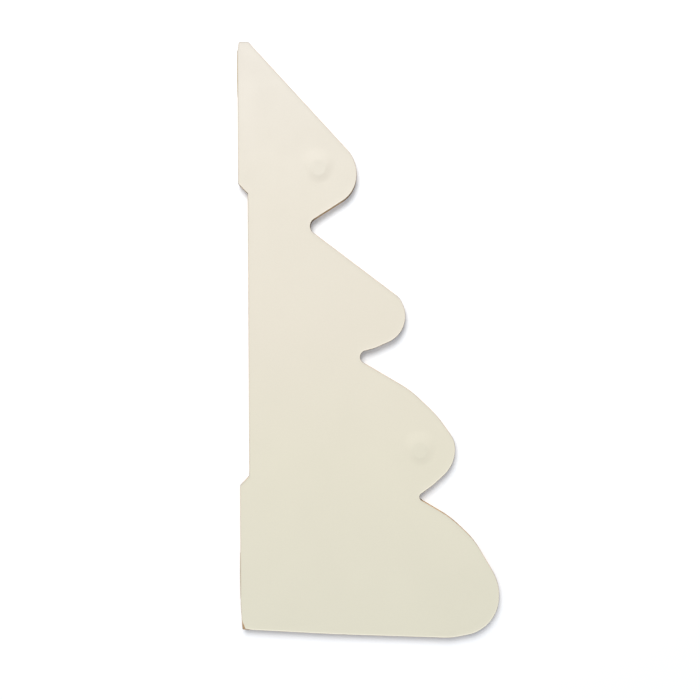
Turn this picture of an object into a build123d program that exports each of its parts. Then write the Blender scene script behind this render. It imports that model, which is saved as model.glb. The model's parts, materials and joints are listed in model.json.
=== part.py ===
from build123d import *
import os

# Tree-shaped scoring board in two leaves that fold shut like a book. Sizes are in
# millimetres. The closed board lies flat on its back leaf: +X runs from the spine to the
# lobes, +Y runs along the spine to the tip, and +Z runs up through the stack of layers.

os.makedirs("parts", exist_ok=True)

# ---- layers of one leaf, from the meeting plane outwards ----
leaf_gap = 0.1  # air between the two closed leaves
plate_thickness = 0.8
core_thickness = 1.8
cover_thickness = 0.3
plate_inset = 0.6  # how far the plate stops short of the core's edge
cover_inset = 0.2  # how far the cover sheet stops short of the core's edge

# ---- scoring grooves ----
groove_pitch = 10.0
groove_count = 12
groove_width = 1.2
groove_depth = 0.4
groove_end_margin = 4.0  # from the end of a groove to the leaf's edge

# ---- magnet closure, one pair in the first lobe and one in the third ----
magnet_diameter = 8.0
magnet_thickness = 2.0
keeper_thickness = 1.2
pocket_clearance = 0.05  # on the radius
upper_magnet_place = (41, 240)
lower_magnet_place = (92, 95.5)
dome_base_diameter = 11.5
dome_top_diameter = 8.6
dome_height = 0.22

# ---- hinge strips, folded round the spine ----
strip_thickness = 0.3
strip_leg_width = 8.0
strip_length = 24.0
strip_bottoms = {"lower": 20.0, "upper": 277.0}
spine_clearance = 0.15  # from the hinge axis to the edge of a leaf
rebate_clearance = 0.3  # along and across a strip
rebate_depth = 0.35

# ---- outline of a leaf, as (x from the spine, y above the base, corner radius) ----
tip_corners = [(0, 300, 3), (0.8, 305, 0.8), (5.5, 305, 2)]
lobe_1_corners = [(60.5, 244.5, 18), (60.5, 228, 15.5)]
notch_1_corners = [(33.5, 211, 4.3)]
lobe_2_corners = [(82.5, 173.5, 10), (85, 167, 11), (85, 155, 14.5), (69, 148, 12)]
notch_2_corners = [(56.5, 145, 3.3)]
lobe_3_corners = [(87.5, 126.5, 48), (101, 113.5, 60), (110, 100.5, 11), (110, 88.5, 18), (98.5, 78, 30)]
notch_3_corners = [(90, 72, 2)]
lobe_4_corners = [(107.5, 61.5, 50), (119.5, 50, 40), (132, 28.5, 25), (132, 4.5, 20)]
base_corners = [(107, 0, 25), (46.5, 2.3, 300), (0.8, 5, 0.8), (0, 18, 30)]
recess_corners = [(0, 78.5, 1), (4.8, 83.5, 0.5), (4.8, 227.5, 0.5), (0, 232.5, 1)]
leaf_corners = (
    tip_corners
    + lobe_1_corners
    + notch_1_corners
    + lobe_2_corners
    + notch_2_corners
    + lobe_3_corners
    + notch_3_corners
    + lobe_4_corners
    + base_corners
    + recess_corners
)

# ---- heights that follow from the layers ----
leaf_thickness = cover_thickness + core_thickness + plate_thickness
back_core_z = cover_thickness
back_plate_z = back_core_z + core_thickness
hinge_z = leaf_thickness + leaf_gap / 2
front_plate_z = leaf_thickness + leaf_gap
front_core_z = front_plate_z + plate_thickness
front_cover_z = front_core_z + core_thickness
front_top_z = front_cover_z + cover_thickness
magnet_proud = magnet_thickness - core_thickness

# ---- the frame: x and y are counted from the middle of the closed board's box ----
strip_inner_radius = leaf_gap / 2
strip_outer_radius = strip_inner_radius + strip_thickness
with BuildSketch() as whole_leaf:
    with BuildLine():
        FilletPolyline(
            [corner[:2] for corner in leaf_corners],
            radius=[corner[2] for corner in leaf_corners],
            close=True,
        )
    make_face()
leaf_box = whole_leaf.sketch.bounding_box()
closed_left = -spine_clearance - strip_outer_radius
centre_x = (closed_left + leaf_box.max.X) / 2
centre_y = (leaf_box.min.Y + leaf_box.max.Y) / 2
hinge_x = -spine_clearance - centre_x
spine_x = -centre_x


def layer_plane(z):
    """Horizontal plane at height z whose own origin is the foot of the spine."""
    return Plane(origin=(-centre_x, -centre_y, z))


def leaf_outline(inset=0.0):
    """Outline of a leaf, shrunk all round by inset."""
    with BuildSketch() as outline:
        add(whole_leaf.sketch)
        if inset:
            offset(amount=-inset)
    return outline.sketch


def groove_outline():
    """Upright scoring grooves, clipped to stay inside the leaf's edge."""
    with BuildSketch() as grooves:
        for number in range(1, groove_count + 1):
            with Locations((number * groove_pitch, leaf_box.center().Y)):
                Rectangle(groove_width, leaf_box.size.Y)
        add(leaf_outline(groove_end_margin), mode=Mode.INTERSECT)
    return grooves.sketch


def rebate_outline():
    """Spine rebates that the hinge strips' legs lie in."""
    with BuildSketch() as rebates:
        for strip_bottom in strip_bottoms.values():
            with Locations((0, strip_bottom - rebate_clearance)):
                Rectangle(
                    strip_leg_width + rebate_clearance,
                    strip_length + 2 * rebate_clearance,
                    align=(Align.MIN, Align.MIN),
                )
    return rebates.sketch


def disc_outline(*places, diameter):
    """Round outlines at places on the leaf."""
    with BuildSketch() as discs:
        with Locations(*places):
            Circle(diameter / 2)
    return discs.sketch


magnet_places = (upper_magnet_place, lower_magnet_place)
pocket_diameter = magnet_diameter + 2 * pocket_clearance

# ---- back leaf, from the table upwards ----
with BuildPart() as back_cover_sheet:
    with BuildSketch(layer_plane(0)):
        add(leaf_outline(cover_inset))
    extrude(amount=cover_thickness)
back_cover_sheet.part.label = "back_cover_sheet"

with BuildPart() as back_core_board:
    with BuildSketch(layer_plane(back_core_z)):
        add(leaf_outline())
    extrude(amount=core_thickness)
    with BuildSketch(layer_plane(back_plate_z)):
        add(disc_outline(*magnet_places, diameter=pocket_diameter))
    extrude(amount=-keeper_thickness, mode=Mode.SUBTRACT)
back_core_board.part.label = "back_core_board"

with BuildPart() as back_scoring_plate:
    with BuildSketch(layer_plane(back_plate_z)):
        add(leaf_outline(plate_inset))
    extrude(amount=plate_thickness)
    with BuildSketch(layer_plane(leaf_thickness)):
        add(groove_outline())
    extrude(amount=-groove_depth, mode=Mode.SUBTRACT)
    with BuildSketch(layer_plane(leaf_thickness)):
        add(rebate_outline())
    extrude(amount=-rebate_depth, mode=Mode.SUBTRACT)
back_scoring_plate.part.label = "back_scoring_plate"

# ---- front leaf, the same stack the other way up ----
with BuildPart() as front_scoring_plate:
    with BuildSketch(layer_plane(front_plate_z)):
        add(leaf_outline(plate_inset))
    extrude(amount=plate_thickness)
    with BuildSketch(layer_plane(front_plate_z)):
        add(groove_outline())
    extrude(amount=groove_depth, mode=Mode.SUBTRACT)
    with BuildSketch(layer_plane(front_plate_z)):
        add(rebate_outline())
    extrude(amount=rebate_depth, mode=Mode.SUBTRACT)
front_scoring_plate.part.label = "front_scoring_plate"

with BuildPart() as front_core_board:
    with BuildSketch(layer_plane(front_core_z)):
        add(leaf_outline())
        add(disc_outline(*magnet_places, diameter=pocket_diameter), mode=Mode.SUBTRACT)
    extrude(amount=core_thickness)
front_core_board.part.label = "front_core_board"

with BuildPart() as front_cover_sheet:
    with BuildSketch(layer_plane(front_cover_z)):
        add(leaf_outline(cover_inset))
    extrude(amount=cover_thickness)
    with Locations(layer_plane(front_top_z)):
        with Locations(*magnet_places):
            Cone(
                dome_base_diameter / 2,
                dome_top_diameter / 2,
                dome_height,
                align=(Align.CENTER, Align.CENTER, Align.MIN),
            )
    with BuildSketch(layer_plane(front_cover_z)):
        add(disc_outline(*magnet_places, diameter=pocket_diameter))
    extrude(amount=magnet_proud, mode=Mode.SUBTRACT)
front_cover_sheet.part.label = "front_cover_sheet"

# ---- magnets in the front leaf and the steel keepers they close on ----
pieces = [
    back_cover_sheet,
    back_core_board,
    back_scoring_plate,
    front_scoring_plate,
    front_core_board,
    front_cover_sheet,
]
for place_name, place in zip(("upper", "lower"), magnet_places):
    with BuildPart() as magnet:
        with BuildSketch(layer_plane(front_core_z)):
            add(disc_outline(place, diameter=magnet_diameter))
        extrude(amount=magnet_thickness)
    magnet.part.label = "front_magnet_" + place_name
    pieces.append(magnet)

    with BuildPart() as keeper:
        with BuildSketch(layer_plane(back_plate_z)):
            add(disc_outline(place, diameter=magnet_diameter))
        extrude(amount=-keeper_thickness)
    keeper.part.label = "back_keeper_" + place_name
    pieces.append(keeper)

# ---- hinge strips: two flat legs joined by a half-round fold on the hinge axis ----
for strip_name, strip_bottom in strip_bottoms.items():
    strip_end = Plane(
        origin=(hinge_x, strip_bottom + strip_length - centre_y, hinge_z),
        x_dir=(1, 0, 0),
        z_dir=(0, -1, 0),
    )
    with BuildPart() as hinge_strip:
        with BuildSketch(strip_end):
            Circle(strip_outer_radius)
            Rectangle(strip_leg_width, 2 * strip_outer_radius, align=(Align.MIN, Align.CENTER))
            Circle(strip_inner_radius, mode=Mode.SUBTRACT)
            Rectangle(strip_leg_width, leaf_gap, align=(Align.MIN, Align.CENTER), mode=Mode.SUBTRACT)
        extrude(amount=strip_length)
    hinge_strip.part.label = "hinge_strip_" + strip_name
    pieces.append(hinge_strip)

for piece in pieces:
    export_step(piece.part, f"parts/{piece.part.label}.step")

print(f"hinge axis: x {hinge_x:.3f}, z {hinge_z:.3f}")
print(f"spine line x {spine_x:.3f}, foot of the spine y {-centre_y:.3f}")
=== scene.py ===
import json
import math

import bmesh
import bpy
import numpy as np
from mathutils import Matrix, Vector, noise
from mathutils.geometry import delaunay_2d_cdt


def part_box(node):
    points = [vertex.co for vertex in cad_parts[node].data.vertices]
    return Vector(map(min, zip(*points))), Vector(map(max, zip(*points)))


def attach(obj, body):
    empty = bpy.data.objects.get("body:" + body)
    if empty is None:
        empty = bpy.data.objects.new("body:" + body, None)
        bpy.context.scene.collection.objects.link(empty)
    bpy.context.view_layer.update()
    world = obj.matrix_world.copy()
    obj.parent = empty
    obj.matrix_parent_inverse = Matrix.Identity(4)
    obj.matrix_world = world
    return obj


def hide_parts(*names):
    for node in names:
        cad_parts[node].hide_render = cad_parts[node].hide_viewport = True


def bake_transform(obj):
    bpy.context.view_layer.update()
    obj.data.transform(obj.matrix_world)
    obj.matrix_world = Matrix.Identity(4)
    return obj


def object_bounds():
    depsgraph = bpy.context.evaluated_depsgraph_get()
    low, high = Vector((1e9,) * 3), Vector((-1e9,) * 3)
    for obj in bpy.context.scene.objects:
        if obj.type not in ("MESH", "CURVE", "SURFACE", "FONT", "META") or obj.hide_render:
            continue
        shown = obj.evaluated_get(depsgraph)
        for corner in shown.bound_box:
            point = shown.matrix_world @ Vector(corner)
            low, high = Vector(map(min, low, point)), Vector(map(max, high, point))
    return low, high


# Looks of the folding tree-shaped scoring board. Lengths are in metres in the frame of the
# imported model: +X from the spine to the lobes, +Y from the base to the tip, +Z up. Only the
# lists that give an edge's section are in millimetres.

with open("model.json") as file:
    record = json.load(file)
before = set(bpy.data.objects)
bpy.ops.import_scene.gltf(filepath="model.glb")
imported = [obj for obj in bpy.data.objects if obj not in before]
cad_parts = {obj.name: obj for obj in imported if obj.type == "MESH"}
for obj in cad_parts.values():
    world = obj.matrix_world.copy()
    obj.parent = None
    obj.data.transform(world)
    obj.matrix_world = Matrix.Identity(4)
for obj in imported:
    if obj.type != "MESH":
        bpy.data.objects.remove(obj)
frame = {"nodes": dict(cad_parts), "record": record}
cad_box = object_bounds()
MM = 0.001
NEAR = 0.01 * MM  # closer than this counts as touching
TINY = 1e-7  # closer than this is one place


# ======================= levels read from the frame =======================

def bottom(node):
    """Lowest level of a CAD node."""
    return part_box(node)[0].z


def top(node):
    """Highest level of a CAD node."""
    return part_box(node)[1].z


cover_thickness = top("back_cover_sheet") - bottom("back_cover_sheet")
front_level = top("front_core_board") + cover_thickness
dome_height = top("front_cover_sheet") - front_level
leaf_gap = bottom("front_scoring_plate") - top("back_scoring_plate")
hinge_z = top("back_scoring_plate") + leaf_gap / 2
strip_low, strip_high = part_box("hinge_strip_upper")
hinge_x = strip_low.x + (strip_high.z - strip_low.z) / 2

# ======================= outlines =======================

OUTLINE_STEP = 1.0 * MM  # along the edge of a cover or a plate
SHARP_CORNER = math.radians(25)  # an outline's corners that turn by more stay sharp


def flat_loops(node, level):
    """Outer and inner outlines of a CAD node's faces in one level.

    Both lists hold closed outlines as corners in anticlockwise order, the largest first.
    """
    mesh = frame["nodes"][node].data
    numbers, sides = {}, set()
    number_of = [
        numbers.setdefault((round(v.co.x, 6), round(v.co.y, 6)), len(numbers))
        for v in mesh.vertices
    ]
    for face in mesh.polygons:
        if all(abs(mesh.vertices[i].co.z - level) < NEAR for i in face.vertices):
            ring = [number_of[i] for i in face.vertices]
            sides.update(zip(ring, ring[1:] + ring[:1]))
    following = {a: b for a, b in sides if (b, a) not in sides}  # sides of one face only
    corners = np.array(list(numbers))
    loops = []
    while following:
        ring = [min(following)]
        while ring[-1] in following:
            ring.append(following.pop(ring[-1]))
        loops.append(corners[ring[:-1]])
    loops.sort(key=lambda loop: abs(loop_area(loop)), reverse=True)
    outer_way = loop_area(loops[0]) > 0
    outer = [loop for loop in loops if (loop_area(loop) > 0) == outer_way]
    inner = [loop for loop in loops if (loop_area(loop) > 0) != outer_way]
    if outer_way:
        return outer, [loop[::-1] for loop in inner]
    return [loop[::-1] for loop in outer], inner


def loop_area(loop):
    """Area inside a closed outline, above zero when it runs anticlockwise."""
    x, y = loop.T
    return float(x @ np.roll(y, -1) - y @ np.roll(x, -1)) / 2


def smooth_loop(corners, step):
    """A closed outline with its arcs made rounder and its points at most step apart."""
    run = np.roll(corners, -1, axis=0) - corners
    length = np.hypot(*run.T)
    way = run / length[:, None]
    points = []
    for i in range(len(corners)):
        j = (i + 1) % len(corners)
        start = corner_way(way, length, i, leaving=True)
        end = corner_way(way, length, j, leaving=False)
        parts = math.ceil(length[i] / step)
        for t in np.arange(parts) / parts:
            points.append(
                corners[i] * (2 * t**3 - 3 * t**2 + 1)  # a cubic through both corners
                + corners[j] * (3 * t**2 - 2 * t**3)
                + length[i] * start * (t**3 - 2 * t**2 + t)
                + length[i] * end * (t**3 - t**2)
            )
    return np.array(points)


def corner_way(way, length, i, leaving):
    """Direction of the outline at corner i: a straight run's own beside an arc's short sides."""
    turn = math.acos(np.clip(way[i - 1] @ way[i], -1, 1))
    if turn > SHARP_CORNER:
        return way[i] if leaving else way[i - 1]
    if length[i] > 2 * length[i - 1]:
        return way[i]
    if length[i - 1] > 2 * length[i]:
        return way[i - 1]
    middle = way[i - 1] + way[i]
    return middle / np.hypot(*middle)


def outward(loop):
    """Outward directions at the points of an anticlockwise outline."""
    along = np.roll(loop, -1, axis=0) - np.roll(loop, 1, axis=0)
    along /= np.hypot(*along.T)[:, None]
    return np.column_stack([along[:, 1], -along[:, 0]])


def circle(centre, radius, count):
    """Points of a circle, anticlockwise."""
    angle = np.arange(count) * 2 * math.pi / count
    return np.array(centre) + radius * np.column_stack([np.cos(angle), np.sin(angle)])


def inside_points(loop, step, margin, clear_of=()):
    """Points of a triangular grid inside an outline, clear of its edge and of some circles."""
    low, high = loop.min(0), loop.max(0)
    rows = np.arange(low[1], high[1], step * math.sqrt(0.75))
    grid = np.array([
        (x + (step / 2 if number % 2 else 0), y)
        for number, y in enumerate(rows)
        for x in np.arange(low[0], high[0], step)
    ])
    grid = grid[is_inside(grid, loop)]
    kept = edge_distance(grid, loop) > margin
    for centre, radius in clear_of:
        kept &= np.hypot(*(grid - centre).T) > radius
    return grid[kept]


def is_inside(points, loop):
    """Whether each point lies inside an outline."""
    crossings = np.zeros(len(points), int)
    for (ax, ay), (bx, by) in zip(loop, np.roll(loop, -1, axis=0)):
        if ay != by:
            shade_between_threads = (ay > points[:, 1]) != (by > points[:, 1])
            crossings += shade_between_threads & (points[:, 0] < ax + (bx - ax) * (points[:, 1] - ay) / (by - ay))
    return crossings % 2 == 1


def edge_distance(points, loop):
    """Distance of each point from the nearest point of an outline."""
    return np.array([np.hypot(*(loop - point).T).min() for point in points])


# ======================= solids =======================

SMOOTH_ANGLE = math.radians(32)  # edges that turn by more stay sharp
# What delaunay_2d_cdt keeps: every triangle inside the outermost ring, or none in its holes.
ALL_INSIDE = 1
HOLES_LEFT_OUT = 2


class Solid:
    """Points and faces of one closed piece, gathered ring by ring.

    Each point carries one number, its mark, which the piece's material reads by the mark's name.
    """

    def __init__(self, mark_name="mark"):
        self.points = []
        self.marks = []
        self.faces = []
        self.mark_name = mark_name

    def ring(self, loop, z, mark=0.0):
        """Adds a ring of points and returns their numbers. z and mark are one number or one each."""
        first = len(self.points)
        heights = np.broadcast_to(z, len(loop))
        self.points += [(x, y, height) for (x, y), height in zip(loop, heights)]
        self.marks += list(np.broadcast_to(mark, len(loop)))
        return list(range(first, len(self.points)))

    def band(self, lower, upper):
        """Faces between two rings with as many points, looking away from the rings' middle."""
        for i in range(len(lower)):
            self.faces.append((lower[i - 1], lower[i], upper[i], upper[i - 1]))

    def bands(self, rings):
        """Faces between each ring and the next."""
        for lower, upper in zip(rings, rings[1:]):
            self.band(lower, upper)

    def triangles(self, rings, loose, kept):
        """Triangles, looking up, between the points of some rings and some loose points."""
        numbers = [number for ring in rings for number in ring]
        starts = np.cumsum([0] + [len(ring) for ring in rings])
        loops = [list(range(a, b)) for a, b in zip(starts, starts[1:])]
        numbers += loose
        flat = [Vector(self.points[number][:2]) for number in numbers]
        _, _, triangles, origins, _, _ = delaunay_2d_cdt(flat, [], loops, kept, TINY)
        return [[numbers[origins[i][0]] for i in triangle] for triangle in triangles]

    def cap(self, rim, holes=(), inside=(), heights=(), up=True):
        """Triangles that fill a ring, less some holes, through points inside it."""
        loose = self.ring(inside, heights) if len(inside) else []
        for corners in self.triangles([rim, *holes], loose, HOLES_LEFT_OUT):
            self.faces.append(corners if up else corners[::-1])

    def ledges(self, rings, outlines, up=True):
        """Triangles among the points of several rings, only where they lie inside outlines."""
        for corners in self.triangles(rings, [], ALL_INSIDE):
            middle = np.array([[sum(self.points[i][k] for i in corners) / 3 for k in (0, 1)]])
            if any(is_inside(middle, outline)[0] for outline in outlines):
                self.faces.append(corners if up else corners[::-1])

    def piece(self, name, material, node):
        """Makes the mesh object, which stands for a CAD node and rides on that node's body."""
        mesh = bpy.data.meshes.new(name)
        mesh.from_pydata(self.points, [], self.faces)
        marks = mesh.attributes.new(self.mark_name, "FLOAT", "POINT")
        marks.data.foreach_set("value", np.array(self.marks, np.float32))
        weld(mesh)
        made = shown_object(name, mesh, material, SMOOTH_ANGLE)
        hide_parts(node)
        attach(made, body_of(node))


def weld(mesh):
    """Joins points that lie in one place."""
    work = bmesh.new()
    work.from_mesh(mesh)
    bmesh.ops.remove_doubles(work, verts=work.verts, dist=TINY)
    work.to_mesh(mesh)
    work.free()


def shown_object(name, mesh, material, sharp_angle):
    """An object for a finished mesh, smooth but for edges that turn by more than an angle."""
    mesh.shade_smooth()
    mesh.set_sharp_from_angle(angle=sharp_angle)
    mesh.materials.append(material)
    made = bpy.data.objects.new(name, mesh)
    bpy.context.scene.collection.objects.link(made)
    return made


def body_of(node):
    """The CAD body that a node belongs to."""
    bodies = frame["record"]["behaviour"]["bodies"]
    return next(body for body, members in bodies.items() if node in members)


def smoothstep(t):
    """An even climb from 0 to 1 that starts and ends gently."""
    t = np.clip(t, 0, 1)
    return t * t * (3 - 2 * t)


def wander(x, y, z, size, seed):
    """Smooth noise from about -1 to 1 whose features are about size long."""
    return noise.noise(Vector((x / size + seed, y / size - seed, z / size + 2 * seed)))


# ======================= materials =======================

# A Mix node's inputs when it mixes colours, and its output.
MIX_FACTOR, MIX_A, MIX_B = 0, 6, 7
MIX_RESULT = 2


class Recipe:
    """A node material in the making. Its patterns are laid out in the object's own metres."""

    def __init__(self, name, **settings):
        self.material = bpy.data.materials.new(name)
        self.material.use_nodes = True
        self.tree = self.material.node_tree
        self.shader = self.tree.nodes["Principled BSDF"]
        for socket, value in settings.items():
            self.shader.inputs[socket.replace("_", " ")].default_value = value
        self.place = self.tree.nodes.new("ShaderNodeTexCoord").outputs["Object"]

    def link(self, source, node, socket):
        self.tree.links.new(source, node.inputs[socket])

    def feed(self, source, socket):
        self.link(source, self.shader, socket)

    def stretched(self, scale, source=None):
        """Coordinates multiplied by a scale along each axis."""
        node = self.tree.nodes.new("ShaderNodeMapping")
        node.inputs["Scale"].default_value = scale
        self.link(source or self.place, node, "Vector")
        return node.outputs["Vector"]

    def noise(self, scale, detail=2.0, roughness=0.5, source=None):
        """Noise from 0 to 1. One scale, or one for each axis, in features a metre."""
        node = self.tree.nodes.new("ShaderNodeTexNoise")
        if isinstance(scale, tuple):
            source, scale = self.stretched(scale, source), 1.0
        self.link(source or self.place, node, "Vector")
        node.inputs["Scale"].default_value = scale
        node.inputs["Detail"].default_value = detail
        node.inputs["Roughness"].default_value = roughness
        return node.outputs["Fac"]

    def maths(self, operation, *values):
        node = self.tree.nodes.new("ShaderNodeMath")
        node.operation = operation
        for number, value in enumerate(values):
            if isinstance(value, (int, float)):
                node.inputs[number].default_value = value
            else:
                self.link(value, node, number)
        return node.outputs[0]

    def spread(self, source, low, high, to_low=0.0, to_high=1.0):
        """Maps a value from low..high to another range, and holds it within that range."""
        node = self.tree.nodes.new("ShaderNodeMapRange")
        self.link(source, node, "Value")
        ends = {"From Min": low, "From Max": high, "To Min": to_low, "To Max": to_high}
        for socket, value in ends.items():
            node.inputs[socket].default_value = value
        return node.outputs["Result"]

    def ramp(self, source, stops):
        """Colours at places along a value, in linear light."""
        node = self.tree.nodes.new("ShaderNodeValToRGB")
        elements = node.color_ramp.elements
        while len(elements) < len(stops):
            elements.new(1.0)
        for element, (position, colour) in zip(elements, stops):
            element.position = position
            element.color = (*colour, 1.0)
        self.link(source, node, "Fac")
        return node.outputs["Color"]

    def mix(self, factor, first, second, blend="MIX"):
        """Mixes two colours, each a socket or a linear colour."""
        node = self.tree.nodes.new("ShaderNodeMix")
        node.data_type = "RGBA"
        node.blend_type = blend
        for number, value in zip((MIX_FACTOR, MIX_A, MIX_B), (factor, first, second)):
            if isinstance(value, (int, float)):
                node.inputs[number].default_value = value
            elif isinstance(value, tuple):
                node.inputs[number].default_value = (*value, 1.0)
            else:
                self.link(value, node, number)
        return node.outputs[MIX_RESULT]

    def attribute(self, name):
        node = self.tree.nodes.new("ShaderNodeAttribute")
        node.attribute_name = name
        return node.outputs["Fac"]

    def axis(self, letter, source=None):
        node = self.tree.nodes.new("ShaderNodeSeparateXYZ")
        self.link(source or self.place, node, "Vector")
        return node.outputs[letter]

    def distance(self, centre):
        """Distance across the leaf from a place in it."""
        x = self.maths("SUBTRACT", self.axis("X"), float(centre[0]))
        y = self.maths("SUBTRACT", self.axis("Y"), float(centre[1]))
        squares = self.maths("ADD", self.maths("MULTIPLY", x, x), self.maths("MULTIPLY", y, y))
        return self.maths("SQRT", squares)

    def bump(self, *layers):
        """Stacks height patterns, each (source, height in metres), into the shader's normal."""
        normal = None
        for source, height in layers:
            node = self.tree.nodes.new("ShaderNodeBump")
            node.inputs["Distance"].default_value = height
            self.link(source, node, "Height")
            if normal:
                self.link(normal, node, "Normal")
            normal = node.outputs["Normal"]
        self.feed(normal, "Normal")


RIM_HIGHLIGHT_TINT = (0.90, 0.87, 0.79)  # painted highlight: the cover card along its rim, paler than its face
RIM_HIGHLIGHT_SHARE = 0.25  # of that painted highlight at the very edge
SPOT_TINT = (0.980, 0.985, 0.984)  # times the card's colour, over a magnet
SPOT_SPREAD = 0.45 * MM  # how far a spot reaches beyond what lies below
SPOT_BLUR = 0.5 * MM


def cover_material(name, spots):
    """Cream laminated card, paled along its rim by a painted highlight. Its tone from base to tip is
    partly its own, a little greener towards the base, and partly painted light and shade.

    It is thin enough for what lies in the spots, each a middle and a radius, to show faintly.
    """
    recipe = Recipe(name, Specular_IOR_Level=0.35)
    height = recipe.spread(recipe.axis("Y"), cad_box[0].y, cad_box[1].y)
    # tone from base to tip: partly the card's own green tint towards the base, partly painted light and
    # shade, darker towards the tip where the lamp shines stronger
    tone = recipe.ramp(height, [
        (0.00, (0.763, 0.726, 0.572)),
        (0.30, (0.770, 0.720, 0.568)),
        (0.50, (0.768, 0.706, 0.574)),
        (0.75, (0.747, 0.687, 0.567)),
        (1.00, (0.722, 0.665, 0.569)),
    ])
    cloud = recipe.spread(recipe.noise(28.0, detail=3.0), 0.3, 0.7, 0.985, 1.0)
    fibre = recipe.noise((900.0, 1500.0, 900.0), detail=4.0, roughness=0.6)
    fleck = recipe.spread(fibre, 0.35, 0.65, 0.985, 1.0)
    shade = recipe.maths("MULTIPLY", cloud, fleck)
    colour = recipe.mix(1.0, tone, shade, "MULTIPLY")
    # painted highlight: the card paled towards its rim
    colour = recipe.mix(recipe.maths("MULTIPLY", recipe.attribute("rim"), RIM_HIGHLIGHT_SHARE), colour, RIM_HIGHLIGHT_TINT)
    for centre, radius in spots:
        edge = radius + SPOT_SPREAD
        away = recipe.distance(centre)
        over_magnet = recipe.spread(away, edge - SPOT_BLUR, edge + SPOT_BLUR, 1.0, 0.0)
        colour = recipe.mix(over_magnet, colour, SPOT_TINT, "MULTIPLY")
    recipe.feed(colour, "Base Color")
    recipe.feed(recipe.spread(recipe.noise(60.0), 0.3, 0.7, 0.42, 0.54), "Roughness")
    recipe.bump((fibre, 0.004 * MM), (recipe.noise(140.0), 0.01 * MM))
    return recipe.material


def board_material():
    """Tan fibreboard in thin plies, browned unevenly where it was cut, with painted shade added where
    its outline turns tightly.
    """
    recipe = Recipe("cut_fibreboard", Specular_IOR_Level=0.2, Roughness=0.85)
    streaks = recipe.noise((420.0, 420.0, 5200.0), detail=4.0, roughness=0.65)
    plies = recipe.noise((25.0, 25.0, 2300.0), detail=1.0)
    fibre = recipe.maths("MULTIPLY_ADD", plies, 0.45, recipe.maths("MULTIPLY", streaks, 0.55))
    raw = recipe.ramp(fibre, [
        (0.30, (0.420, 0.262, 0.135)),
        (0.50, (0.620, 0.415, 0.230)),
        (0.70, (0.780, 0.560, 0.345)),
    ])
    # one dark colour for char and for the painted shade in the notches
    char_and_shade_tone = recipe.ramp(streaks, [(0.35, (0.050, 0.028, 0.016)), (0.70, (0.180, 0.100, 0.055))])
    patches = recipe.spread(recipe.noise((95.0, 95.0, 400.0), detail=3.0), 0.45, 0.75, 0.0, 0.35)
    # char along tight turns and in random patches, plus painted shade in the notches
    char_and_shade = recipe.maths("ADD", recipe.attribute("char_and_shade"), patches)
    recipe.feed(recipe.mix(recipe.spread(char_and_shade, 0.0, 1.0), raw, char_and_shade_tone), "Base Color")
    recipe.feed(recipe.spread(streaks, 0.3, 0.7, 0.78, 0.95), "Roughness")
    recipe.bump((streaks, 0.03 * MM))
    return recipe.material


GROOVE_TINT = (0.56, 0.545, 0.49)  # plastic darker deeper in a groove
GROOVE_SHARE = 0.30
GROOVE_POLISH = 0.14  # how much less rough a groove is
SCUFF_TINT = (0.86, 0.85, 0.81)
SCUFF_SHARE = 0.25
SCUFF_DULLING = 0.12  # how much rougher a scuff is


def plate_material():
    """Satin moulded plastic, finely grained, scuffed lengthwise by the scoring tool."""
    recipe = Recipe("satin_plastic", IOR=1.49)
    grain = recipe.noise(2600.0, detail=2.0)
    scuffs = recipe.noise((2400.0, 22.0, 500.0), detail=3.0, roughness=0.7)
    areas = recipe.spread(recipe.noise(45.0), 0.4, 0.65)
    used = recipe.maths("MULTIPLY", recipe.spread(scuffs, 0.60, 0.72), areas)
    tone = recipe.ramp(recipe.noise(20.0), [(0.3, (0.715, 0.700, 0.635)), (0.7, (0.745, 0.730, 0.665))])
    groove = recipe.attribute("groove")
    tone = recipe.mix(recipe.maths("MULTIPLY", groove, GROOVE_SHARE), tone, GROOVE_TINT)
    tone = recipe.mix(recipe.maths("MULTIPLY", used, SCUFF_SHARE), tone, SCUFF_TINT)
    recipe.feed(tone, "Base Color")
    roughness = recipe.spread(grain, 0.3, 0.7, 0.40, 0.52)
    polish = recipe.maths("MULTIPLY", groove, GROOVE_POLISH)
    roughness = recipe.maths("SUBTRACT", roughness, polish)
    dulling = recipe.maths("MULTIPLY", used, SCUFF_DULLING)
    recipe.feed(recipe.maths("ADD", roughness, dulling), "Roughness")
    recipe.bump((grain, 0.006 * MM), (scuffs, 0.004 * MM))
    return recipe.material


def magnet_material():
    """Bright nickel plate with fine turning marks and a faint orange peel."""
    recipe = Recipe("nickel_plate", Metallic=1.0)
    peel = recipe.noise(1800.0, detail=2.0)
    marks = recipe.noise((5200.0, 300.0, 5200.0), detail=2.0)
    tone = recipe.ramp(peel, [(0.3, (0.66, 0.64, 0.60)), (0.7, (0.74, 0.72, 0.69))])
    recipe.feed(tone, "Base Color")
    recipe.feed(recipe.spread(marks, 0.3, 0.7, 0.14, 0.28), "Roughness")
    recipe.bump((peel, 0.003 * MM), (marks, 0.002 * MM))
    return recipe.material


def keeper_material():
    """Stamped steel with dull zinc plating, rolled in one direction."""
    recipe = Recipe("zinc_plated_steel", Metallic=1.0)
    rolled = recipe.noise((320.0, 6000.0, 900.0), detail=3.0)
    spangle = recipe.noise(700.0, detail=1.0)
    tone = recipe.ramp(spangle, [(0.35, (0.45, 0.46, 0.48)), (0.65, (0.56, 0.57, 0.59))])
    recipe.feed(tone, "Base Color")
    recipe.feed(recipe.spread(rolled, 0.3, 0.7, 0.32, 0.50), "Roughness")
    recipe.bump((rolled, 0.004 * MM))
    return recipe.material


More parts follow.
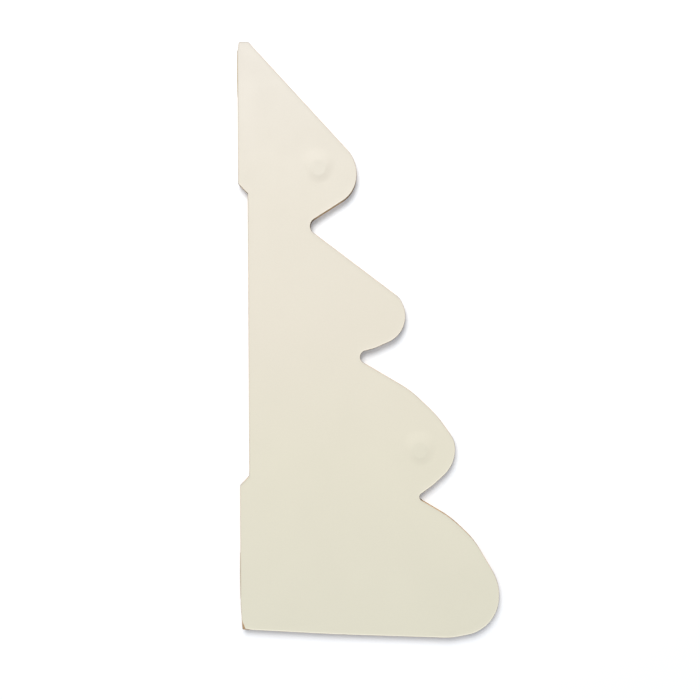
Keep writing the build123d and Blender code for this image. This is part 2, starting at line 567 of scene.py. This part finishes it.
def cloth_material():
    """Tan book cloth. Its weave is in the mesh, and this adds the threads' uneven colour and painted
    shade in the gaps between threads.
    """
    recipe = Recipe("book_cloth", Roughness=0.88, Sheen_Weight=0.25, Specular_IOR_Level=0.2)
    lay = recipe.tree.nodes.new("ShaderNodeUVMap")
    lay.uv_map = "cloth"
    lay = lay.outputs["UV"]
    warp = recipe.noise((1330.0, 60.0, 1.0), detail=1.0, source=lay)
    weft = recipe.noise((60.0, 1330.0, 1.0), detail=1.0, source=lay)
    threads = recipe.maths("MULTIPLY", recipe.maths("ADD", warp, weft), 0.5)
    tone = recipe.ramp(threads, [
        (0.35, (0.400, 0.350, 0.215)),
        (0.50, (0.510, 0.455, 0.295)),
        (0.65, (0.620, 0.560, 0.390)),
    ])
    # painted shade: darker where the weave sinks between threads
    shade_between_threads = recipe.spread(recipe.attribute("weave"), 0.0, 1.0, 0.72, 1.0)
    recipe.feed(recipe.mix(1.0, tone, shade_between_threads, "MULTIPLY"), "Base Color")
    recipe.bump((recipe.noise((5000.0, 5000.0, 1.0), source=lay), 0.01 * MM))
    return recipe.material


# ======================= covers =======================

# The rim of a cover sheet, as (in from its edge, down from its highest level) in millimetres:
# cutting has left a burr that stands a little above the rest of the sheet.
COVER_RIM = [
    (0.00, 0.30),
    (0.00, 0.10),
    (0.02, 0.04),
    (0.05, 0.010),
    (0.09, 0.0),
    (0.15, 0.016),
    (0.26, 0.070),
    (0.37, 0.126),
    (0.47, 0.160),
    (0.54, 0.168),
]
BURR_WIDTH, BURR_HEIGHT = COVER_RIM[-1]
COVER_GRID_STEP = 2.6 * MM  # between the points inside a cover
COVER_GRID_MARGIN = 2.0 * MM  # from those points to the edge
POCKET_POINTS = 64
# The corner at the base of the spine is worn back this far across and along the spine.
WORN_BACK = (1.2 * MM, 0.3 * MM)
WORN_REACH = 5.0 * MM
SHEET_WAVE = 0.06 * MM  # how far the glued sheet sinks below flat
SHEET_WAVE_LENGTH = 38 * MM
WAVE_STARTS = 2 * MM  # from the edge
WAVE_FULL = 14 * MM
DOME_FLAT_RADIUS = 3.4 * MM
DOME_FOOT_RADIUS = 8.0 * MM  # on the side towards the base
DOME_LONG_FOOT_RADIUS = 11.5 * MM  # towards the tip, where the sheet climbs more gently
DOME_CREASE = 0.7  # towards the base the sheet falls most steeply close to the magnet
DOME_SIDE = 0.3  # the foot starts to lengthen below the magnet's middle, at this sine
DOME_RING_STEP = 0.4 * MM


def sheet_relief(points, distance, seed):
    """Slow unevenness of a glued sheet, none at its edge and nowhere above it."""
    share = smoothstep((distance - WAVE_STARTS) / (WAVE_FULL - WAVE_STARTS))
    waves = np.array([wander(x, y, 0, SHEET_WAVE_LENGTH, seed) for x, y in points])
    return SHEET_WAVE * share * (waves - 1) / 2


def magnet_spots():
    """Middle and radius of each magnet's pocket."""
    _, pockets = flat_loops("front_core_board", bottom("front_core_board"))
    return [((loop.min(0) + loop.max(0)) / 2, float(np.ptp(loop[:, 0])) / 2) for loop in pockets]


def dome_rise(points, centre):
    """How far the sheet stands up over a magnet, above the level inside its burr."""
    x, y = (points - centre).T
    distance = np.hypot(x, y)
    tipward = smoothstep((y / np.maximum(distance, TINY) + DOME_SIDE) / (1 + DOME_SIDE))
    foot = DOME_FOOT_RADIUS + (DOME_LONG_FOOT_RADIUS - DOME_FOOT_RADIUS) * tipward
    share = np.clip((distance - DOME_FLAT_RADIUS) / (foot - DOME_FLAT_RADIUS), 0, 1)
    crease = DOME_CREASE + (1 - DOME_CREASE) * tipward
    return (dome_height + BURR_HEIGHT * MM) * (1 - smoothstep(share**crease))


def worn_corner(loop):
    """An outline with its corner at the base of the spine worn back."""
    corner = loop[(loop @ np.array([1.0, 1.0])).argmin()]
    near = 1 - smoothstep(np.hypot(*(loop - corner).T) / WORN_REACH)
    return loop + near[:, None] * np.array(WORN_BACK)


def dome_points(centre):
    """Rings of points close together over a magnet."""
    rings = [np.array([centre])]
    for radius in np.arange(DOME_RING_STEP, DOME_LONG_FOOT_RADIUS + DOME_RING_STEP, DOME_RING_STEP):
        rings.append(circle(centre, radius, 6 * round(radius / DOME_RING_STEP)))  # about square cells
    return np.vstack(rings)


def sheet_points(loop, spots, seed):
    """Points inside a cover's rim, with their heights above the level inside its burr."""
    clear = DOME_LONG_FOOT_RADIUS + 1.5 * DOME_RING_STEP  # just beyond a dome's own points
    around = [(centre, clear) for centre, _ in spots]
    grid = inside_points(loop, COVER_GRID_STEP, COVER_GRID_MARGIN, around)
    points = np.vstack([grid, *[dome_points(centre) for centre, _ in spots]])
    relief = sheet_relief(points, edge_distance(points, loop), seed)
    for centre, _ in spots:
        rise = dome_rise(points, centre)
        relief = relief * (1 - rise / max(rise)) + rise
    return points, relief


def pocket_mouth(solid, centre, radius):
    """Sinks a magnet's pocket into the glued side of the front cover, and returns its mouth."""
    edge = circle(centre, radius, POCKET_POINTS)
    mouth = solid.ring(edge, top("front_core_board"))
    roof = solid.ring(edge, top("front_magnet_upper"))
    solid.band(roof, mouth)
    solid.cap(roof, up=False)
    return mouth


def cover(name, node, material, outer_side, spots, seed):
    """A cover sheet with a burr round its rim. outer_side is 1 when its outer face looks up, or -1."""
    outer = front_level if outer_side > 0 else bottom(node)
    (outline,), _ = flat_loops(node, outer - outer_side * cover_thickness)
    loop = smooth_loop(outline, OUTLINE_STEP)
    if outer_side > 0:
        loop = worn_corner(loop)
    normals = outward(loop)
    solid = Solid("rim")
    rings = [
        solid.ring(
            loop - inward * MM * normals,
            outer - outer_side * down * MM,
            1 - smoothstep(inward / BURR_WIDTH),
        )
        for inward, down in COVER_RIM
    ]
    solid.bands(rings[::outer_side])
    points, relief = sheet_points(loop, spots, seed)
    heights = outer + outer_side * (relief - BURR_HEIGHT * MM)
    solid.cap(rings[-1], inside=points, heights=heights, up=outer_side > 0)
    mouths = [pocket_mouth(solid, centre, radius) for centre, radius in spots]
    solid.cap(rings[0], holes=mouths, up=outer_side < 0)
    solid.piece(name, material, node)


# ======================= boards =======================

BOARD_STEP = 0.5 * MM  # along the cut edge
BOARD_EDGE_RINGS = 11
EDGE_RING_MARGIN = 0.03  # from a face to the first ring, as a share of the thickness
BOARD_ARRIS = 0.09 * MM  # how far the upper and lower edge are rounded back
BOARD_ARRIS_DEPTH = 1.5 * BOARD_ARRIS
FIBRE_DEPTH = 0.05 * MM  # how far the cut edge is pitted between fibres
FIBRE_SIZE = (2.4 * MM, 2.4 * MM, 0.36 * MM)
FIBRE_SHARE = 0.35
TOOTH_SIZE = (0.9 * MM, 0.9 * MM, 0.25 * MM)  # of a finer pattern on top
TOOTH_SHARE = 0.25
LEDGE = 0.6 * MM  # flat border between the arris and the coarse middle
ARRIS_DARKENING = 0.12  # extra darkening of the upper and lower edge
ARRIS_DARKENING_DEPTH = 0.45 * MM
FACE_DARKENING = 0.35  # darkening of the faces' border, char and painted shade, as a share of the cut's
TIGHT_TURN = 0.12  # turn of the outline a millimetre at which a cut is fully charred and shaded
CHAR_AND_SHADE_REACH = 3.0 * MM  # how far the char and painted shade spread along the cut


def cut_edge_pits(loop, z, seed):
    """How far the cut edge lies behind the outline at height z, at each point."""
    shift = Vector((0, 0, seed))
    pits = []
    for x, y in loop:
        fibre = noise.noise(Vector([a / b for a, b in zip((x, y, z), FIBRE_SIZE)]) + shift)
        tooth = noise.noise(Vector([a / b for a, b in zip((x, y, z), TOOTH_SIZE)]) - shift)
        pits.append(0.5 + FIBRE_SHARE * fibre + TOOTH_SHARE * tooth)
    return FIBRE_DEPTH * np.clip(pits, 0, 1)


def char_and_shade_of(loop):
    """How darkened the cut is: most where the outline turns tightly, partly char where the cutter slows
    down and partly painted shade in the notches.
    """
    way = np.roll(loop, -1, axis=0) - loop
    angle = np.unwrap(np.arctan2(way[:, 1], way[:, 0]))
    turn = np.abs(np.roll(angle, -1) - np.roll(angle, 1))
    turn = np.minimum(turn, np.abs(2 * math.pi - turn))  # where the outline closes
    length = np.hypot(*way.T)
    travel = length + np.roll(length, -1)
    tight = np.clip(turn / travel * MM / TIGHT_TURN, 0, 1)
    spread = int(CHAR_AND_SHADE_REACH / BOARD_STEP)
    weights = np.hanning(2 * spread + 1)
    padded = np.concatenate([tight[-spread:], tight, tight[:spread]])
    return np.convolve(padded, weights / weights.sum(), "valid")


def board_profile(loop, low, high, seed):
    """A board's edge from its lower face to its upper one, as (in from the outline, level)."""
    border = [LEDGE, BOARD_ARRIS + FIBRE_DEPTH]
    profile = [(inward, low) for inward in border]
    for share in np.linspace(EDGE_RING_MARGIN, 1 - EDGE_RING_MARGIN, BOARD_EDGE_RINGS):
        z = low + (high - low) * share
        from_face = min(z - low, high - z)
        arris = BOARD_ARRIS * (1 - smoothstep(from_face / BOARD_ARRIS_DEPTH))
        profile.append((cut_edge_pits(loop, z, seed) + arris, z))
    return profile + [(inward, high) for inward in border[::-1]]


def board(name, node, material, pocket_level, seed):
    """A fibreboard core with pitted cut edges and pockets that open at its upper face."""
    low, high = bottom(node), top(node)
    (outline,), pockets = flat_loops(node, high)
    loop = smooth_loop(outline, BOARD_STEP)
    normals = outward(loop)
    # char where the cutter slows, plus painted shade in the notches
    char_and_shade = char_and_shade_of(loop)
    solid = Solid("char_and_shade")
    rings = []
    for inward, z in board_profile(loop, low, high, seed):
        from_face = min(z - low, high - z)
        darkened = char_and_shade + ARRIS_DARKENING * (1 - smoothstep(from_face / ARRIS_DARKENING_DEPTH))
        if from_face == 0:
            darkened = FACE_DARKENING * darkened  # the flat border of a face
        rings.append(solid.ring(loop - np.reshape(inward, (-1, 1)) * normals, z, darkened))
    solid.bands(rings)
    mouths, feet = [], []
    for pocket in pockets:
        edge = smooth_loop(pocket, BOARD_STEP)
        mouths.append(solid.ring(edge, high))
        feet.append(solid.ring(edge, pocket_level))
        solid.band(mouths[-1], feet[-1])
    solid.cap(rings[-1], holes=mouths)
    through = pocket_level <= low + TINY
    solid.cap(rings[0], holes=feet if through else (), up=False)
    if not through:
        for foot in feet:
            solid.cap(foot)
    solid.piece(name, material, node)


# ======================= scoring plates =======================

# A plate's rim, as (in from its edge, away from the nearer face) in millimetres, the same at
# both faces.
PLATE_RIM = [(0.16, 0.0), (0.07, 0.025), (0.02, 0.075), (0.0, 0.16)]
# A groove's section, as (in from its edge, depth) in millimetres, from outside its rounded lip.
GROOVE_SECTION = [
    (-0.16, 0.0),
    (0.0, 0.02),
    (0.03, 0.05),
    (0.09, 0.20),
    (0.17, 0.32),
    (0.30, 0.385),
    (0.45, 0.40),
]
GROOVE_CORNER_SHARE = 2 / 3  # corner radius at each depth, as a share of half the width there
GROOVE_CORNER_POINTS = 6
GROOVE_WORN_DEPTH = 0.2  # in millimetres, below which a groove is fully burnished


def shrunk_corners(corners, inward):
    """Corners of a convex outline whose sides have all moved inwards."""
    count = len(corners)
    way = np.roll(corners, -1, axis=0) - corners
    way /= np.hypot(*way.T)[:, None]
    inner = np.column_stack([-way[:, 1], way[:, 0]])
    moved = []
    for i in range(count):
        before, after = corners[i] + inward * inner[i - 1], corners[i] + inward * inner[i]
        side = np.column_stack([way[i - 1], -way[i]])
        along = np.linalg.solve(side, after - before)
        moved.append(before + along[0] * way[i - 1])
    return np.array(moved)


def rounded(corners, radius):
    """A convex outline with round corners, always with the same number of points."""
    points = []
    for i, corner in enumerate(corners):
        back = corners[i - 1] - corner
        ahead = corners[(i + 1) % len(corners)] - corner
        back /= np.hypot(*back)
        ahead /= np.hypot(*ahead)
        half = math.acos(np.clip(back @ ahead, -1, 1)) / 2
        reach = radius / math.tan(half)
        start, end = corner + reach * back, corner + reach * ahead
        for t in np.linspace(0, 1, GROOVE_CORNER_POINTS):
            points.append((1 - t) ** 2 * start + 2 * t * (1 - t) * corner + t**2 * end)
    return np.array(points)


def groove_corners(loop):
    """The four corners of one groove's outline: the ends of its two straight walls."""
    left, right = loop[:, 0].min(), loop[:, 0].max()
    walls = []
    for wall in (left, right):
        y = loop[np.abs(loop[:, 0] - wall) < NEAR][:, 1]
        walls.append((wall, y.min(), y.max()))
    (left, left_low, left_high), (right, right_low, right_high) = walls
    return np.array([(left, left_low), (right, right_low), (right, right_high), (left, left_high)])


def with_corners_of(other, loop):
    """An outline with another's corners added wherever those lie on its sides."""
    corners = []
    for start, end in zip(loop, np.roll(loop, -1, axis=0)):
        length = np.hypot(*(end - start))
        way = (end - start) / length
        along = (other - start) @ way
        aside = np.abs((other - start) @ np.array([-way[1], way[0]]))
        shade_between_threads = (aside < NEAR) & (along > NEAR) & (along < length - NEAR)
        corners += [start, *other[shade_between_threads][np.argsort(along[shade_between_threads])]]
    return np.array(corners)


def groove(solid, outline, level, inner_side):
    """Sinks a groove with rounded lips and floor, and returns the ring of its mouth."""
    corners = groove_corners(outline)
    half_width = (corners[1][0] - corners[0][0]) / 2
    steps = []
    for inward, depth in GROOVE_SECTION:
        radius = GROOVE_CORNER_SHARE * (half_width - inward * MM)
        edge = rounded(shrunk_corners(corners, inward * MM), radius)
        worn = min(1.0, depth / GROOVE_WORN_DEPTH)
        steps.append(solid.ring(edge, level - inner_side * depth * MM, worn))
    for upper, lower in zip(steps, steps[1:]):
        solid.band(*(upper, lower)[::inner_side])
    solid.cap(steps[-1], up=inner_side > 0)
    return steps[0]


def plate_wall(solid, corners, face, edge_level):
    """The side wall under one face, from its rounded rim to another level."""
    way = 1 if edge_level > face else -1
    loop = smooth_loop(corners, OUTLINE_STEP)
    normals = outward(loop)
    rings = [
        solid.ring(loop - inward * MM * normals, face + way * down * MM)
        for inward, down in PLATE_RIM
    ]
    rings.append(solid.ring(loop, edge_level))
    solid.bands(rings[::way])
    return rings


def plate(name, node, material, inner_side):
    """A plastic plate with grooves, and rebates for the hinge strips' legs in its spine edge.

    inner_side is 1 if its grooves look up, or -1. The plate is whole between its plain face and
    the rebates' floor. The grooved face goes round the rebates, which part it into terraces.
    """
    plain, grooved = (bottom(node), top(node))[::inner_side]
    levels = {round(v.co.z, 6) for v in frame["nodes"][node].data.vertices}
    rebate_floor = sorted(levels, key=lambda z: abs(z - grooved))[1]  # the grooves go deeper
    terraces, groove_outlines = flat_loops(node, grooved)
    rebates, _ = flat_loops(node, rebate_floor)
    (whole,), _ = flat_loops(node, plain)
    for terrace in terraces:
        whole = with_corners_of(terrace, whole)
    solid = Solid("groove")
    lower = plate_wall(solid, whole, plain, rebate_floor)
    upper = [plate_wall(solid, terrace, grooved, rebate_floor) for terrace in terraces]
    solid.ledges([lower[-1], *(rings[-1] for rings in upper)], rebates, up=inner_side > 0)
    solid.cap(lower[0], up=inner_side < 0)
    mouths = [groove(solid, outline, grooved, inner_side) for outline in groove_outlines]
    largest, *others = upper
    solid.cap(largest[0], holes=mouths, up=inner_side > 0)
    for rings in others:
        solid.cap(rings[0], up=inner_side > 0)
    solid.piece(name, material, node)


# ======================= magnets and keepers =======================

DISC_POINTS = 72
# A disc's lower edge, then its upper one, as (in from the side, away from the nearer face) in
# millimetres.
MAGNET_SECTION = (
    [(0.32, 0.0), (0.12, 0.05), (0.03, 0.14), (0.0, 0.30)],
    [(0.0, 0.30), (0.03, 0.14), (0.12, 0.05), (0.32, 0.0)],
)
KEEPER_SECTION = (
    [(0.05, 0.0), (0.0, 0.05)],
    [(0.0, 0.42), (0.04, 0.22), (0.13, 0.09), (0.30, 0.02), (0.5, 0.0)],
)


def disc(name, node, material, section):
    """A round disc whose two edges follow a section."""
    low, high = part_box(node)
    centre = (low.xy + high.xy) / 2
    radius = (high.x - low.x) / 2
    lower_edge, upper_edge = section
    profile = [(inward, low.z + away * MM) for inward, away in lower_edge]
    profile += [(inward, high.z - away * MM) for inward, away in upper_edge]
    solid = Solid()
    rings = [solid.ring(circle(centre, radius - inward * MM, DISC_POINTS), z) for inward, z in profile]
    solid.bands(rings)
    solid.cap(rings[0], up=False)
    solid.cap(rings[-1])
    solid.piece(name, material, node)


# ======================= hinge strips =======================

CLOTH_STEP = 0.19 * MM  # between the mesh's points, four to a thread
CLOTH_SHARP_ANGLE = math.radians(60)
THREAD_PITCH = 0.76 * MM
THREAD_RELIEF = 0.03 * MM  # from a thread's crown down to the gaps
THREAD_DIP = 0.45  # of that relief, where a thread goes under its neighbours
FOLD_POINTS = 15  # round the fold
FOLD_END_SHARE = 0.45  # bulge of the fold at the ends of a strip, as a share of the middle's
FOLD_FULLNESS = 0.6  # below 1, the fold stays full nearly to the ends


def fold_stations(leg, radius):
    """Places along a folded strip, from the end of its lower leg to the end of its upper one.

    Each is (x and z from the hinge, x and z of the outward direction, length so far).
    """
    fold = math.pi * radius
    legs = np.linspace(leg, 0, math.ceil(leg / CLOTH_STEP) + 1)
    stations = [(x, -radius, 0.0, -1.0, leg - x) for x in legs]
    for t in np.linspace(0, math.pi, FOLD_POINTS)[1:-1]:
        out_x, out_z = -math.sin(t), -math.cos(t)
        stations.append((radius * out_x, radius * out_z, out_x, out_z, leg + radius * t))
    return stations + [(x, radius, 0.0, 1.0, leg + fold + x) for x in legs[::-1]]


def thread_height(u, v):
    """Height of a plain weave, from 0 between threads to 1 on top of one."""
    column, row = math.floor(u / THREAD_PITCH), math.floor(v / THREAD_PITCH)
    across_u = abs(math.sin(math.pi * u / THREAD_PITCH))
    across_v = abs(math.sin(math.pi * v / THREAD_PITCH))
    warp_on_top = (column + row) % 2 == 0
    crown, along = (across_u, across_v) if warp_on_top else (across_v, across_u)
    return math.sqrt(crown) * (1 - THREAD_DIP * (1 - along))


def cloth_points(stations, rows, thickness):
    """Points of a strip's outer side, then of its inner one, row by row.

    With them come their heights in the weave and their places on the flat cloth.
    """
    points, weave, lay = [], [], []
    for side in (1, -1):
        for y in rows:
            along = y - rows[0]
            share = along / (rows[-1] - rows[0])
            fullness = math.sin(math.pi * share) ** FOLD_FULLNESS
            bulge = FOLD_END_SHARE + (1 - FOLD_END_SHARE) * fullness
            for x, z, out_x, out_z, length in stations:
                over = thread_height(length, along)
                offset = side * (thickness / 2 - THREAD_RELIEF * (1 - over))
                px, pz = x + out_x * offset, z + out_z * offset
                if px < 0:
                    px *= bulge
                points.append((hinge_x + px, y, hinge_z + pz))
                weave.append(over)
                lay.append((length, along))
    return points, weave, lay


def cloth_faces(row_count, station_count):
    """Faces of a strip whose points are its outer grid, then its inner one, row by row."""
    def number(side, row, station):
        return (side * row_count + row) * station_count + station

    faces = []
    for row in range(row_count - 1):
        for station in range(station_count - 1):
            square = [(row, station), (row, station + 1), (row + 1, station + 1), (row + 1, station)]
            faces.append([number(0, *corner) for corner in square])
            faces.append([number(1, *corner) for corner in square[::-1]])
    border = [(0, station) for station in range(station_count)]
    border += [(row, station_count - 1) for row in range(1, row_count)]
    border += [(row_count - 1, station) for station in range(station_count - 2, -1, -1)]
    border += [(row, 0) for row in range(row_count - 2, 0, -1)]
    for first, second in zip(border, border[1:] + border[:1]):
        faces.append([number(0, *second), number(0, *first), number(1, *first), number(1, *second)])
    return faces


def hinge_cloth(name, node, material):
    """A strip of cloth folded round the spine, with a leg on each leaf."""
    low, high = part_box(node)
    thickness = (high.z - low.z - leaf_gap) / 2
    middle_radius = (leaf_gap + thickness) / 2
    leg = high.x - hinge_x
    stations = fold_stations(leg, middle_radius)
    rows = np.linspace(low.y, high.y, math.ceil((high.y - low.y) / CLOTH_STEP) + 1)
    points, weave, lay = cloth_points(stations, rows, thickness)
    mesh = bpy.data.meshes.new(name)
    mesh.from_pydata(points, [], cloth_faces(len(rows), len(stations)))
    relief = mesh.attributes.new("weave", "FLOAT", "POINT")
    relief.data.foreach_set("value", np.array(weave, np.float32))
    uv = mesh.uv_layers.new(name="cloth")
    for corner in mesh.loops:
        uv.data[corner.index].uv = lay[corner.vertex_index]
    made = shown_object(name, mesh, material, CLOTH_SHARP_ANGLE)
    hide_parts(node)
    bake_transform(made)


# ======================= assembly =======================

spots = magnet_spots()
front_laminate = cover_material("cream_laminate_over_magnets", spots)
back_laminate = cover_material("cream_laminate", ())
fibreboard = board_material()
plastic = plate_material()
nickel = magnet_material()
steel = keeper_material()
cloth = cloth_material()

cover("front_cover_laminate", "front_cover_sheet", front_laminate, 1, spots, seed=3.7)
cover("back_cover_laminate", "back_cover_sheet", back_laminate, -1, (), seed=11.3)
board("front_fibreboard", "front_core_board", fibreboard, bottom("front_core_board"), seed=5.1)
board("back_fibreboard", "back_core_board", fibreboard, bottom("back_keeper_upper"), seed=8.6)
plate("front_grooved_plate", "front_scoring_plate", plastic, -1)
plate("back_grooved_plate", "back_scoring_plate", plastic, 1)
for place in ("upper", "lower"):
    magnet, keeper = f"front_magnet_{place}", f"back_keeper_{place}"
    disc(f"magnet_disc_{place}", magnet, nickel, MAGNET_SECTION)
    disc(f"keeper_disc_{place}", keeper, steel, KEEPER_SECTION)
    hinge_cloth(f"hinge_cloth_{place}", f"hinge_strip_{place}", cloth)

# ======================= floor, light and camera =======================

FLOOR_REACH = 6.0
FLOOR_COLOUR = (0.9, 0.9, 0.9)
FLOOR_GLOW = 0.14  # the table is a pale panel, faintly lit from below
FAR_GLOW = 0.90  # and more so far away, where the lamp's own light fades
FAR_GLOW_STARTS = 0.4
FAR_GLOW_FULL = 2.0
GLOW_TINT = (0.95, 1.0, 1.03)
SKY = (0.418, 0.436, 0.475)  # soft light from all round, a little cool
SEEN_SKY = (1.0, 1.0, 1.0)
KEY_DISTANCE = 1.8
KEY_DIAMETER = 0.97
KEY_ELEVATION = math.radians(60)
KEY_HEADING = Vector((-0.29, 0.957))  # where the key light stands, seen from the object
KEY_POWER = 25.6  # watts
CAMERA_HEIGHT = 0.580
CAMERA_PLACE = (-9.18 * MM, -5.21 * MM)
CAMERA_UP = (0.0061, 1.0, 0.0)  # the board lies slightly turned in the photograph
VIEW_WIDTH = 357.0 * MM  # seen across the picture in the level of the front cover


def floor():
    """A large pale floor at the board's own level."""
    mesh = bpy.data.meshes.new("floor")
    corners = [(-1, -1, 0), (1, -1, 0), (1, 1, 0), (-1, 1, 0)]
    mesh.from_pydata([(x * FLOOR_REACH, y * FLOOR_REACH, z) for x, y, z in corners], [], [(0, 1, 2, 3)])
    recipe = Recipe("pale_floor", Specular_IOR_Level=0.0, Roughness=1.0)
    recipe.shader.inputs["Base Color"].default_value = (*FLOOR_COLOUR, 1.0)
    recipe.shader.inputs["Emission Color"].default_value = (*GLOW_TINT, 1.0)
    away = recipe.distance((0.0, 0.0))
    glow = recipe.spread(away, FAR_GLOW_STARTS, FAR_GLOW_FULL, FLOOR_GLOW, FAR_GLOW)
    recipe.feed(glow, "Emission Strength")
    mesh.materials.append(recipe.material)
    made = bpy.data.objects.new("floor", mesh)
    bpy.context.scene.collection.objects.link(made)


def sky():
    """Even surroundings, seen directly as plain white."""
    world = bpy.data.worlds.new("sky")
    bpy.context.scene.world = world
    world.use_nodes = True
    tree = world.node_tree
    background = tree.nodes["Background"]
    path = tree.nodes.new("ShaderNodeLightPath")
    colour = tree.nodes.new("ShaderNodeMix")
    colour.data_type = "RGBA"
    colour.inputs[MIX_A].default_value = (*SKY, 1.0)
    colour.inputs[MIX_B].default_value = (*SEEN_SKY, 1.0)
    tree.links.new(path.outputs["Is Camera Ray"], colour.inputs[MIX_FACTOR])
    tree.links.new(colour.outputs[MIX_RESULT], background.inputs["Color"])


def key_light():
    """One round soft lamp, high up beyond the tip and a little towards the spine."""
    lamp = bpy.data.lights.new("key", "AREA")
    lamp.shape = "DISK"
    lamp.size = KEY_DIAMETER
    lamp.energy = KEY_POWER
    heading = KEY_HEADING.normalized() * math.cos(KEY_ELEVATION)
    towards = Vector((heading.x, heading.y, math.sin(KEY_ELEVATION)))
    made = bpy.data.objects.new("key", lamp)
    made.location = towards * KEY_DISTANCE
    made.rotation_euler = towards.to_track_quat("Z", "Y").to_euler()
    bpy.context.scene.collection.objects.link(made)


def camera():
    """A camera that looks straight down on the closed board."""
    lens = bpy.data.cameras.new("camera")
    lens.sensor_width = 36.0
    lens.lens = lens.sensor_width * (CAMERA_HEIGHT - front_level) / VIEW_WIDTH
    made = bpy.data.objects.new("camera", lens)
    up = Vector(CAMERA_UP).normalized()
    back = Vector((0, 0, 1))
    right = up.cross(back)
    turn = Matrix((right, up, back)).transposed().to_4x4()
    made.matrix_world = Matrix.Translation((*CAMERA_PLACE, CAMERA_HEIGHT)) @ turn
    bpy.context.scene.collection.objects.link(made)
    bpy.context.scene.camera = made


floor()
sky()
key_light()
camera()
bpy.context.scene.view_settings.view_transform = "Standard"
